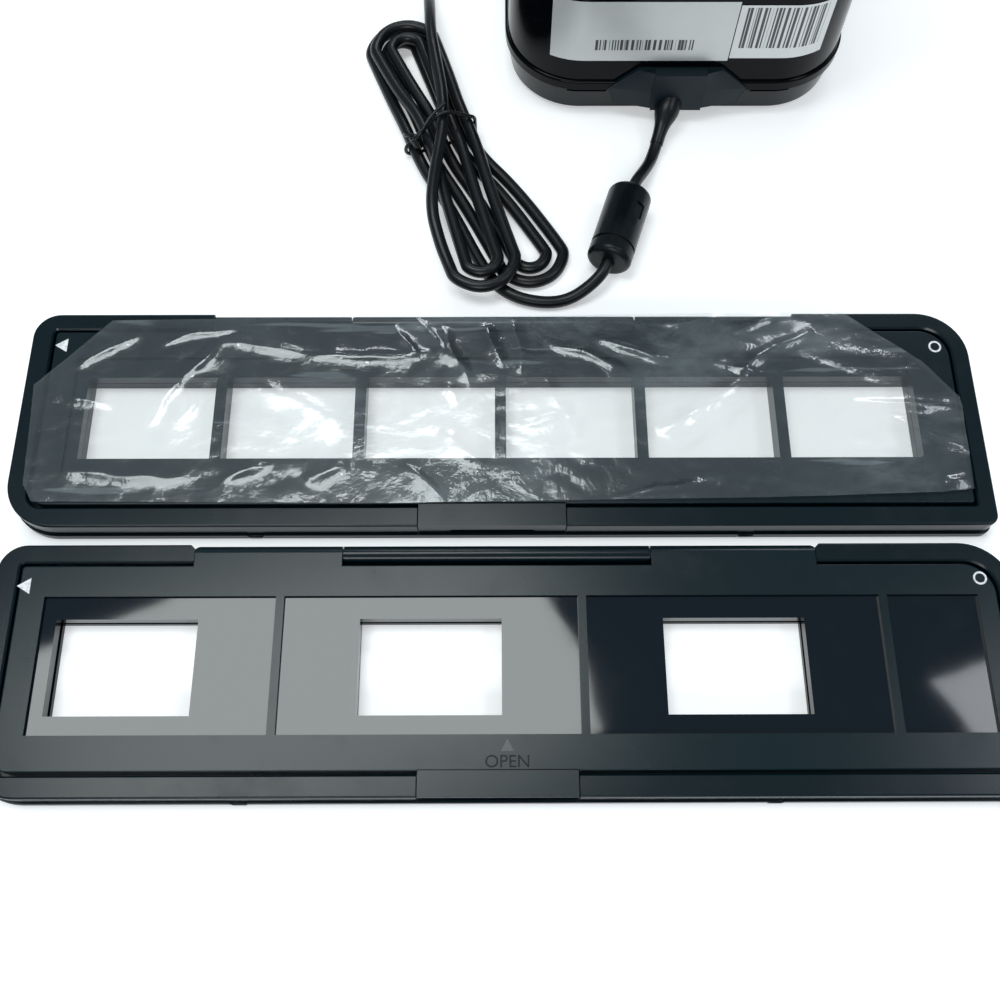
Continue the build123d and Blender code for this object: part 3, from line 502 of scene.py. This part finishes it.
def lampWhite():
    look = Finish("lampWhite")
    cloud = look.grain(300.0)
    tone = look.blendColors(cloud, rgb(0.78, 0.77, 0.70), rgb(0.88, 0.87, 0.80))
    return look.done(look.principled(Base_Color=tone, Roughness=0.35 + cloud * 0.1))


def boardGreen():
    look = Finish("boardGreen")
    cells = look.put("ShaderNodeTexVoronoi", {"feature": "DISTANCE_TO_EDGE"},
                     {"Vector": look.place(), "Scale": 420.0})
    tracks = look.between(cells, 0.04, 0.07, 1.0, 0.0)
    tone = look.blendColors(tracks, rgb(0.012, 0.085, 0.035), rgb(0.03, 0.16, 0.07))
    return look.done(look.principled(Base_Color=tone, Roughness=0.32 + tracks * 0.1,
                                     Normal=look.bump(tracks, 0.3)))


def slideCoverFinish():
    # polished panels between satin ribs and rims, which stand a little higher
    look = Finish("slideCoverFinish")
    panel = look.between(look.part(2), holderTop - 0.75 * mm, holderTop - 0.65 * mm, 1.0, 0.0)
    cloud = look.grain(18.0, 3.0)
    smudge = look.between(look.grain(70.0, 4.0, 0.62), 0.5, 0.8)
    satinTone = look.blendColors(cloud, rgb(0.001, 0.008, 0.011), rgb(0.001, 0.011, 0.016))
    fine = look.bump(look.grain(2500.0, 2.0, 0.6), 0.05)
    satin = look.principled(Base_Color=satinTone, Roughness=0.24 + smudge * 0.06, Normal=fine,
                            Specular_IOR_Level=0.30)
    panelTone = look.blendColors(smudge, rgb(0.0, 0.0035, 0.008), rgb(0.002, 0.006, 0.011))
    wave = look.bump(look.grain(22.0, 1.0), 0.10, 0.004)
    polished = look.principled(Base_Color=panelTone, Roughness=0.05 + smudge * 0.03, Normal=wave,
                               Specular_IOR_Level=0.5)
    return look.done(look.blendShaders(panel, satin, polished))


def dress(node, material):
    data = nodes[node].data
    if not data.materials:
        data.materials.append(material)
    for index in range(len(data.materials)):
        data.materials[index] = material


finishes = {"cableRubber": rubber, "slideCoverFinish": slideCoverFinish(),
            "lampWhite": lampWhite(), "boardGreen": boardGreen()}
for name, (color, gloss, extras) in plastics.items():
    finishes[name] = plastic(name, color, gloss, **extras)
for name, (color, gloss, depth) in metals.items():
    finishes[name] = metal(name, color, gloss, depth)
for name, (color, alpha) in glasses.items():
    finishes[name] = clearGlass(name, color, alpha)
for finishName, names in finishOf.items():
    for name in names:
        dress(name, finishes[finishName])


# wire tie round the hank, with its twisted ends
print("tying the hank")
tie = {
    "thick": 0.55,
    "gap": 0.25,
    "samples": 40,
    "crossing": (0.6, 2.2),  # where the lead crosses over the waist
    "crossingLift": 0.1,
    "knot": ((-24.9, 44.6, 4.6), (-26.3, 43.4, 10.2)),
    "knotSteps": 16,
    "turns": 2.5,
    "radius": 0.95,
    "tail": [(-24.6, 42.6, 11.6), (-22.8, 44.6, 13.1), (-20.5, 48.0, 14.9), (-16.8, 51.6, 15.6)],
    "loop": [(-27.9, 44.6, 9.6), (-29.3, 46.0, 8.2), (-28.6, 47.6, 7.0), (-26.8, 47.0, 6.4)],
}


def pickOnly(piece):
    bpy.ops.object.select_all(action="DESELECT")
    piece.select_set(True)
    bpy.context.view_layer.objects.active = piece


def addStrand(name, route, closed=False):
    pickOnly(roundCurve(name, route, tie["thick"], steps=4, facets=3, closed=closed))
    bpy.ops.object.convert(target="MESH")
    strand = bpy.context.object
    strand.data.materials.append(finishes["tieSatin"])
    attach(strand, "scanner")
    return strand


def loopRoute():
    # the tightest way round the runs at the waist
    lift = lead["diameter"] / 2 + lead["clearance"] + hank["tieLift"]
    over = lift + 2 * hank["layerHeight"] + tie["crossingLift"]
    places = [(columnOf(run), lift + layerOf(run) * hank["layerHeight"])
              for run in range(hank["runs"])]
    places += [(across, over) for across in tie["crossing"]]
    reach = lead["diameter"] / 2 + tie["gap"] + tie["thick"]
    route = []
    for sample in range(tie["samples"]):
        angle = 2 * math.pi * sample / tie["samples"]
        way = Vector((math.cos(angle), math.sin(angle)))
        outermost = Vector(max(places, key=lambda place: way.dot(Vector(place))))
        across, height = outermost + way * reach
        x, y, _ = fromHank(0.0, across, 0)
        route.append((x, y, max(height, tie["thick"])))
    return route


def knotRoute(phase):
    start, end = (Vector(spot) for spot in tie["knot"])
    axis = end - start
    side = axis.orthogonal().normalized()
    other = axis.normalized().cross(side)
    route = []
    for step in range(tie["knotSteps"] + 1):
        share = step / tie["knotSteps"]
        angle = 2 * math.pi * tie["turns"] * step / tie["knotSteps"] + phase
        around = tie["radius"] * (math.cos(angle) * side + math.sin(angle) * other)
        route.append(tuple(start + axis * share + around))
    return route


tieLoop = addStrand("tieLoop", loopRoute(), closed=True)
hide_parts("cable_tie")
tieStrands = [addStrand("tieEndTail", knotRoute(0.0) + tie["tail"]),
              addStrand("tieEndLoop", knotRoute(math.pi) + tie["loop"])]


# clear film on the negative cover
print("crinkling the film")
film = {
    "lift": 0.35,
    "columns": 320,
    "rows": 84,
    "broadHeight": 0.34,
    "broadMiddle": 0.8,
    "crispHeight": 0.26,
    "wander": 1.2,  # how far a crease strays sideways
    "fade": 2.5,  # how late a crease fades towards its ends
    # outline from the middle of the negative holder, rear edge first
    "outline": [(-107.8, 29.3), (0.0, 30.6), (103.4, 31.8), (107.5, 26.6), (115.0, 17.6),
                (118.6, 13.8), (124.0, 9.6), (124.8, 2.0), (124.0, -21.9), (115.6, -22.8),
                (72.9, -24.1), (-26.3, -25.5), (-122.1, -24.9), (-125.0, -19.9), (-126.6, 9.3)],
    # creases: two ends, how high and how wide
    "creases": [((-94, -3), (-86, 14), 0.9, 1.6), ((-87, 11), (-75, 23), 0.9, 1.6),
                ((-77, 23), (-52, 18), 0.8, 1.7), ((-54, 18), (-17, 18), 0.9, 1.8),
                ((-94, 22), (-72, 28), 0.8, 1.3), ((-116, 14), (-99, 26), 0.8, 1.6),
                ((-73, 12), (-42, -2), 1.0, 4.0), ((-88, -4), (-80, 8), 0.7, 2.6),
                ((-30, 28), (-22, 17), 0.8, 1.3), ((-24, 30), (-12, 15), 0.8, 1.4),
                ((-17, 28), (-8, 8), 0.9, 1.5), ((-16, 9), (-11, 4), 0.8, 1.6),
                ((-4, 28), (0, 14), 0.9, 1.3), ((4, 30), (6, 12), 0.8, 1.5),
                ((-16, -5), (-4, -15), 0.9, 2.2), ((5, -3), (19, -1), 0.8, 1.6),
                ((18, -2), (12, 11), 0.8, 1.6), ((12, 23), (34, 14), 0.7, 1.2),
                ((26, 24), (47, 16), 0.9, 1.5), ((44, 27), (62, 30), 0.7, 1.4),
                ((42, -6), (55, 1), 0.9, 2.2), ((53, 0), (67, 12), 1.0, 2.4),
                ((65, 11), (76, 21), 0.9, 2.2), ((74, 20), (87, 26), 0.8, 2.0),
                ((65, 24), (78, 30), 0.8, 1.4), ((58, 16), (72, 12), 0.6, 1.0),
                ((94, 3), (124, 2), 0.9, 1.6), ((102, 0), (125, -11), 0.9, 1.8),
                ((116, -20), (124, -18), 0.7, 1.6), ((80, 18), (112, 4), 0.5, 3.0),
                ((-122, 8), (-104, 2), 0.7, 1.8), ((-120, -16), (-80, -19), 0.7, 2.4),
                ((-74, -19), (-60, -14), 0.8, 2.0), ((-52, -20), (-40, -14), 0.8, 2.2),
                ((-26, -14), (-14, -25), 0.8, 1.6), ((28, -24), (60, -19), 0.6, 1.6)],
}


def creaseHeight(x, y):
    height = 0.0
    for (x1, y1), (x2, y2), high, wide in film["creases"]:
        runX, runY = x2 - x1, y2 - y1
        long = math.hypot(runX, runY)
        along = ((x - x1) * runX + (y - y1) * runY) / long
        across = (-(x - x1) * runY + (y - y1) * runX) / long
        across += film["wander"] * noise.noise(Vector((along * 0.12, x1 * 0.1, 0.0)))
        ends = max(0.0, 1.0 - (abs(2 * along / long - 1)) ** film["fade"])
        if ends > 0:
            height += high * ends / (1.0 + (across / wide) ** 2 * 2.0)
    return height


def filmHeight(x, y):
    broad = (noise.noise(Vector((x * 0.020, y * 0.045, 3.1)))
             + 0.5 * noise.noise(Vector((x * 0.05, y * 0.09, 8.2))))
    crisp = abs(noise.noise(Vector((x * 0.11, y * 0.16, 5.7))))
    return (film["lift"] + film["broadHeight"] * (broad + film["broadMiddle"])
            + film["crispHeight"] * crisp + creaseHeight(x, y))


def makeFilm():
    # a fine grid over the outline's box, trimmed along the outline and then crinkled
    sheet = bmesh.new()
    xs = [point[0] for point in film["outline"]]
    ys = [point[1] for point in film["outline"]]
    bmesh.ops.create_grid(sheet, x_segments=film["columns"], y_segments=film["rows"], size=0.5)
    for vertex in sheet.verts:
        vertex.co.x = min(xs) + (vertex.co.x + 0.5) * (max(xs) - min(xs))
        vertex.co.y = min(ys) + (vertex.co.y + 0.5) * (max(ys) - min(ys))
    for (x1, y1), (x2, y2) in zip(film["outline"], film["outline"][1:] + film["outline"][:1]):
        outward = Vector((y1 - y2, x2 - x1, 0)).normalized()
        bmesh.ops.bisect_plane(sheet, geom=sheet.verts[:] + sheet.edges[:] + sheet.faces[:],
                               plane_co=(x1, y1, 0), plane_no=outward, clear_outer=True)
    for vertex in sheet.verts:
        x, y = vertex.co.x, vertex.co.y
        vertex.co = Vector((negativeMiddle.x + x * mm, negativeMiddle.y + y * mm,
                            holderTop + filmHeight(x, y) * mm))
    data = bpy.data.meshes.new("clearFilm")
    sheet.to_mesh(data)
    sheet.free()
    data.polygons.foreach_set("use_smooth", [True] * len(data.polygons))
    return link("clearFilm", data)


def filmFinish():
    # clear with a thin veil, scuffed in streaks and finely scratched
    look = Finish("filmFinish")
    streaks = look.place(scale=(1.0, 2.4, 1.0), turn=(0, 0, 0.5))
    lines = look.place(scale=(0.07, 1.0, 1.0), turn=(0, 0, -0.4))
    haze = look.between(look.grain(30.0, 4.0, 0.6), 0.45, 0.8)
    scuffs = look.between(look.grain(16.0, 5.0, 0.68, where=streaks), 0.50, 0.74)
    scratches = look.between(look.grain(300.0, where=lines), 0.66, 0.71)
    specks = look.between(look.grain(900.0, 2.0, 0.6), 0.68, 0.75)
    facing = look.put("ShaderNodeFresnel", {}, {"IOR": 1.58})
    fine = look.bump(look.grain(95.0, 4.0, 0.62), 0.30, 0.0012)
    clear = look.put("ShaderNodeBsdfTransparent", {}, {"Color": rgb(0.965, 0.975, 0.97)})
    shine = look.put("ShaderNodeBsdfGlossy", {},
                     {"Color": rgb(0.95, 0.98, 1.0), "Roughness": 0.17, "Normal": fine})
    veil = look.put("ShaderNodeBsdfDiffuse", {}, {"Color": rgb(0.60, 0.70, 0.74)})
    milk = 0.035 + haze * 0.04 + scuffs * 0.11 + scratches * 0.10
    body = look.blendShaders(milk, clear, veil)
    return look.done(look.blendShaders(facing * 1.35 + specks * 0.10, body, shine))


clearFilm = makeFilm()
clearFilm.data.materials.append(filmFinish())
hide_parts("protective_film")
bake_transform(clearFilm)


# white signs and the moulded word on the covers
print("printing the signs")
signs = {
    "thickness": 0.06,
    "arrowSize": (3.4, 4.2),
    "ringRadius": 1.75,
    "ringWidth": 0.5,
    "markSize": (3.0, 3.2),
    "markAt": -19.9,  # from the holder's middle towards the front
    "wordWidth": 10.7,
    "wordAt": -23.4,
    "covers": [  # name, body, middle, arrow and ring from the middle
        ("negative", "negative_lid", negativeMiddle, (-120.6, 21.8), (120.4, 20.9)),
        ("slide", "slide_lid", slideMiddle, (-121.4, 20.7), (120.4, 22.1)),
    ],
}
triangleBase, triangleHeight = 1.732, 1.5  # of a triangle in a circle of radius 1
openWidth = 2.55  # of the word at a letter size of 1


def whiteInk():
    look = Finish("whiteInk")
    worn = look.between(look.grain(1400.0, 3.0), 0.38, 0.6)
    tone = look.blendColors(worn, rgb(0.55, 0.56, 0.57), rgb(0.80, 0.81, 0.82))
    return look.done(look.principled(Base_Color=tone, Roughness=0.5 + worn * 0.1))


def settle(piece, material, body):
    # bake the place into the mesh and hang the piece on its body
    pickOnly(piece)
    bpy.ops.object.transform_apply(location=True, rotation=True, scale=True)
    piece.data.materials.clear()
    piece.data.materials.append(material)
    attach(piece, body)


def addRing(name, place):
    bpy.ops.object.select_all(action="DESELECT")
    bpy.ops.mesh.primitive_cylinder_add(vertices=48, radius=signs["ringRadius"] * mm,
                                        depth=signs["thickness"] * mm, location=place)
    ring = bpy.context.object
    ring.name = name
    bpy.ops.object.mode_set(mode="EDIT")
    bpy.ops.mesh.select_all(action="DESELECT")
    sheet = bmesh.from_edit_mesh(ring.data)
    for face in sheet.faces:
        face.select = abs(face.normal.z) > 0.9
    bmesh.update_edit_mesh(ring.data)
    bpy.ops.mesh.inset(thickness=signs["ringWidth"] * mm)
    bpy.ops.mesh.bridge_edge_loops()
    bpy.ops.object.mode_set(mode="OBJECT")
    return ring


def addArrow(name, place, size, turn):
    bpy.ops.object.select_all(action="DESELECT")
    bpy.ops.mesh.primitive_cylinder_add(vertices=3, radius=1.0, depth=signs["thickness"] * mm,
                                        location=place, rotation=(0, 0, turn))
    arrow = bpy.context.object
    arrow.name = name
    length, base = size
    arrow.scale = (base * mm / triangleBase, length * mm / triangleHeight, 1.0)
    return arrow


def addWord(name, word, place):
    bpy.ops.object.select_all(action="DESELECT")
    bpy.ops.object.text_add(location=place)
    text = bpy.context.object
    text.name = name
    text.data.body = word
    text.data.align_x = "CENTER"
    text.data.align_y = "CENTER"
    text.data.size = signs["wordWidth"] * mm / openWidth
    text.data.extrude = signs["thickness"] * mm / 2
    bpy.ops.object.convert(target="MESH")
    return bpy.context.object


def onTop(middle, x, y):
    return (middle.x + x * mm, middle.y + y * mm, holderTop + signs["thickness"] / 2 * mm)


ink = whiteInk()
for cover, body, middle, arrowAt, ringAt in signs["covers"]:
    arrow = addArrow(cover + "Arrow", onTop(middle, *arrowAt), signs["arrowSize"], math.pi / 2)
    settle(arrow, ink, body)
    settle(addRing(cover + "Ring", onTop(middle, *ringAt)), ink, body)
    mark = addArrow(cover + "OpenMark", onTop(middle, 0, signs["markAt"]), signs["markSize"], 0)
    settle(mark, finishes["mouldedArrow"], body)
    word = addWord(cover + "OpenWord", "OPEN", onTop(middle, 0, signs["wordAt"]))
    settle(word, finishes["mouldedLetters"], body)


# bare labels on the tower's rear wall
print("sticking on the labels")
labels = {
    "proud": 0.12,
    "paper": 0.08,
    "columns": 60,
    "rows": 24,
    "inFront": 4.0,  # where the sheet starts, before it is pressed on the wall
    "lineEdge": 0.08,
    "plates": [  # name, left, right, bottom, top, tone, shine, block of lines as shares
        ("silverLabel", 14.4, 66.6, 21.6, 43.0, (0.60, 0.62, 0.61), 0.45, (0.24, 0.79, 0.19, 0.37)),
        ("whiteLabel", 66.9, 94.0, 22.6, 41.8, (0.80, 0.81, 0.80), 0.0, (0.07, 0.93, 0.20, 0.96)),
    ],
}


def labelFinish(name, left, right, bottom, top, tone, shine, lines):
    look = Finish(name + "Finish")
    x, z = look.part(0), look.part(2)
    soft = labels["lineEdge"] * mm

    def inside(value, start, size, begin, end):
        # 1 between two shares of the label's width or height
        begin, end = (start + begin * size) * mm, (start + end * size) * mm
        return (look.between(value, begin - soft, begin + soft)
                * (1 - look.between(value, end - soft, end + soft)))

    block = (inside(x, left, right - left, lines[0], lines[1])
             * inside(z, bottom, top - bottom, lines[2], lines[3]))
    comb = look.put("ShaderNodeCombineXYZ", {}, {0: x, 1: 0.0, 2: 0.0})
    bars = look.between(look.grain(1250.0, 1.0, 0.3, where=comb), 0.48, 0.52)
    paper = look.blendColors(look.grain(120.0, 3.0), shade(tone, 0.9), rgb(*tone))
    color = look.blendColors(block * bars, paper, rgb(0.05, 0.05, 0.055))
    return look.done(look.principled(Base_Color=color, Metallic=shine, Roughness=0.34 + bars * 0.02,
                                     Normal=look.bump(look.grain(45.0), 0.08, 0.0005)))


def addLabel(name, left, right, bottom, top, *finish):
    middle = ((left + right) / 2 * mm, rearY - labels["inFront"] * mm, (bottom + top) / 2 * mm)
    bpy.ops.object.select_all(action="DESELECT")
    bpy.ops.mesh.primitive_grid_add(x_subdivisions=labels["columns"], size=1.0,
                                    y_subdivisions=labels["rows"], location=middle,
                                    rotation=(math.pi / 2, 0, 0))
    label = bpy.context.object
    label.name = name
    label.scale = ((right - left) * mm, (top - bottom) * mm, 1.0)
    settle(label, labelFinish(name, left, right, bottom, top, *finish), "scanner")
    wrap = label.modifiers.new("onWall", "SHRINKWRAP")
    wrap.wrap_method = "PROJECT"
    wrap.use_project_y = True
    wrap.use_positive_direction = True
    wrap.use_negative_direction = False
    wrap.target = nodes["rear_shell"]
    wrap.offset = labels["proud"] * mm
    bpy.ops.object.modifier_apply(modifier="onWall")
    thick = label.modifiers.new("paper", "SOLIDIFY")
    thick.thickness = labels["paper"] * mm
    thick.offset = 1.0
    bpy.ops.object.modifier_apply(modifier="paper")
    bpy.ops.object.shade_smooth_by_angle(angle=smoothAngle)


for plate in labels["plates"]:
    addLabel(*plate)


# moulding nibs in the front edges of the holders
print("adding the nibs")
nibs = {
    "places": (-64.5, 64.5),
    "width": 3.9,
    "depth": 1.3,
    "height": 1.3,
    "front": -32.5,
    "bottom": 0.2,
    "rounding": 0.35,
    "trays": [("negative", negativeMiddle, "negative_holder"),
              ("slide", slideMiddle, "slide_holder")],
}


def addNib(name, middle, place, body):
    bpy.ops.object.select_all(action="DESELECT")
    bpy.ops.mesh.primitive_cube_add(size=1.0, location=(
        middle.x + place * mm, middle.y + (nibs["front"] + nibs["depth"] / 2) * mm,
        (nibs["height"] / 2 + nibs["bottom"]) * mm))
    nib = bpy.context.object
    nib.name = name
    nib.scale = (nibs["width"] * mm, nibs["depth"] * mm, nibs["height"] * mm)
    settle(nib, finishes["holderSatin"], body)
    edges = nib.modifiers.new("edges", "BEVEL")
    edges.width = nibs["rounding"] * mm
    edges.segments = 3
    bpy.ops.object.modifier_apply(modifier="edges")
    bpy.ops.object.shade_smooth_by_angle(angle=smoothAngle)


for tray, middle, body in nibs["trays"]:
    for number, place in enumerate(nibs["places"]):
        addNib(tray + "Nib" + str(number), middle, place, body)


print("finishing")
view = bpy.context.scene.view_settings
view.view_transform = "Standard"
